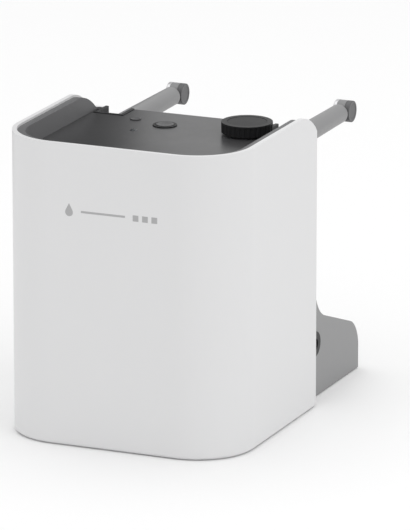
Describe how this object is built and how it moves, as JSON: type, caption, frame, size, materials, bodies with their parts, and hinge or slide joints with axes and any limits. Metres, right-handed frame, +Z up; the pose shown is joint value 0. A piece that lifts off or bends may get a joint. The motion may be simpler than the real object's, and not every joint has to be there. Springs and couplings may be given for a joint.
{
  "type": "resin wash station",
  "caption": "Closed-tank fluid station with a screw-capped filler, a peristaltic pump in a low rear base and swing-up arms with turning spouts.",
  "frame": {"origin": "bottom centre of the bounding box, on the surface that the feet stand on", "axes": "+X to the right seen from the front, +Y from the front face to the spouts at the back, +Z up"},
  "size_m": [0.14, 0.213, 0.17],
  "materials": {
    "white_shell": "fine satin moulding",
    "deck_grey": "smooth satin",
    "liner_grey": "fine matt moulding",
    "plinth_grey": "moulded, fine texture",
    "foot_grey": "fine matt moulding",
    "arm_grey": "fine satin moulding",
    "black_plastic": "fine grain",
    "cap_disc": "smooth satin",
    "bracket_dark": "fine matt moulding",
    "button_grey": "smooth satin",
    "clear_lens": "frosted light pipe",
    "mark_grey": "smooth inlay",
    "tank_natural": "natural moulding",
    "soft_tube": "smooth silicone",
    "seal_red": "moulded silicone",
    "rubber_feet": "moulded rubber",
    "steel": "bright zinc or stainless",
    "ring_metal": "turned and bead-blasted",
    "float_orange": "foamed moulding",
    "rotor_white": "acetal",
    "board_green": "solder mask",
    "board_parts": "moulded parts"
  },
  "bodies": {
    "base": {"shell": "white_shell", "liner": "liner_grey", "deck": "deck_grey", "front_mark": "mark_grey", "base_plate": "plinth_grey", "feet": "rubber_feet", "base_screws": "steel", "back_panel": "liner_grey", "back_cover": "foot_grey", "cover_screws": "steel", "rear_base": "foot_grey", "power_inlet": "black_plastic", "tank": "tank_natural", "tank_lid": "tank_natural", "tank_outlet": "black_plastic", "suction_strainer": "steel", "float_stem": "steel", "filler_neck": "black_plastic", "neck_nut": "black_plastic", "neck_seal": "seal_red", "filler_strainer": "steel", "control_board": "board_green", "board_parts": "board_parts", "board_screws": "steel", "power_spring": "steel", "button_ring": "black_plastic", "prime_spring": "steel", "status_lens": "clear_lens", "pump_head": "button_grey", "pump_cover": "black_plastic", "pump_tube": "soft_tube", "gearbox": "steel", "pump_motor": "steel", "pump_bracket": "black_plastic", "suction_hose": "soft_tube", "delivery_hose": "soft_tube", "tee_fitting": "black_plastic", "arm_hoses": "soft_tube", "wiring": "board_parts", "arm_brackets": "bracket_dark", "bracket_screws": "steel", "pivots": "steel"},
    "cap_liner": {"cap_seal": "seal_red"},
    "cap": {"filler_cap": "black_plastic", "cap_disc": "cap_disc"},
    "float": {"level_float": "float_orange"},
    "power_key": {"power_button": "button_grey"},
    "prime_key": {"prime_button": "button_grey"},
    "rotor": {"pump_rotor": "rotor_white"},
    "roller_a": {"roller_1": "rotor_white"},
    "roller_b": {"roller_2": "rotor_white"},
    "roller_c": {"roller_3": "rotor_white"},
    "left_arm": {"arm_left": "arm_grey"},
    "right_arm": {"arm_right": "arm_grey"},
    "left_spout": {"spout_left": "arm_grey", "spout_ring_left": "ring_metal", "spout_plug_left": "bracket_dark"},
    "right_spout": {"spout_right": "arm_grey", "spout_ring_right": "ring_metal", "spout_plug_right": "bracket_dark"}
  },
  "joints": [
    {"name": "cap_lift", "type": "slide", "parent": "base", "child": "cap_liner", "axis": [0, 0, 1], "range_m": [0, 0.0049]},
    {"name": "cap_turn", "type": "hinge", "parent": "cap_liner", "child": "cap", "pos_m": [0.0366, -0.0048, 0.162], "axis": [0, 0, 1], "range_deg": [0, 720]},
    {"name": "float_rise", "type": "slide", "parent": "base", "child": "float", "axis": [0, 0, 1], "range_m": [0, 0.0915]},
    {"name": "power_press", "type": "slide", "parent": "base", "child": "power_key", "axis": [0, 0, -1], "range_m": [0, 0.001], "stiffness_N_per_m": 300, "springref_m": -0.0005, "deforming": ["power_spring"]},
    {"name": "prime_press", "type": "slide", "parent": "base", "child": "prime_key", "axis": [0, 0, -1], "range_m": [0, 0.001], "stiffness_N_per_m": 300, "springref_m": -0.0005, "deforming": ["prime_spring"]},
    {"name": "rotor_spin", "type": "hinge", "parent": "base", "child": "rotor", "pos_m": [0, 0.0565, 0.021], "axis": [1, 0, 0], "continuous": true},
    {"name": "roller_a_spin", "type": "hinge", "parent": "rotor", "child": "roller_a", "pos_m": [0.0148, 0.0621, 0.021], "axis": [1, 0, 0], "continuous": true},
    {"name": "roller_b_spin", "type": "hinge", "parent": "rotor", "child": "roller_b", "pos_m": [0.0148, 0.0537, 0.02585], "axis": [1, 0, 0], "continuous": true},
    {"name": "roller_c_spin", "type": "hinge", "parent": "rotor", "child": "roller_c", "pos_m": [0.0148, 0.0537, 0.01615], "axis": [1, 0, 0], "continuous": true},
    {"name": "left_arm_swing", "type": "hinge", "parent": "base", "child": "left_arm", "pos_m": [-0.0513, 0.014, 0.1484], "axis": [1, 0, 0], "range_deg": [0, 85]},
    {"name": "left_spout_turn", "type": "hinge", "parent": "left_arm", "child": "left_spout", "pos_m": [-0.0513, 0.0935, 0.1484], "axis": [0, 1, 0], "range_deg": [-90, 90]},
    {"name": "right_arm_swing", "type": "hinge", "parent": "base", "child": "right_arm", "pos_m": [0.0513, 0.014, 0.1484], "axis": [1, 0, 0], "range_deg": [0, 85]},
    {"name": "right_spout_turn", "type": "hinge", "parent": "right_arm", "child": "right_spout", "pos_m": [0.0513, 0.0935, 0.1484], "axis": [0, 1, 0], "range_deg": [-90, 90]}
  ],
  "couplings": [
    {"joint": "cap_lift", "follows": "cap_turn", "m_per_rad": 0.00038197},
    {"joint": "roller_a_spin", "follows": "rotor_spin", "ratio": -3.1538},
    {"joint": "roller_b_spin", "follows": "rotor_spin", "ratio": -3.1538},
    {"joint": "roller_c_spin", "follows": "rotor_spin", "ratio": -3.1538}
  ]
}
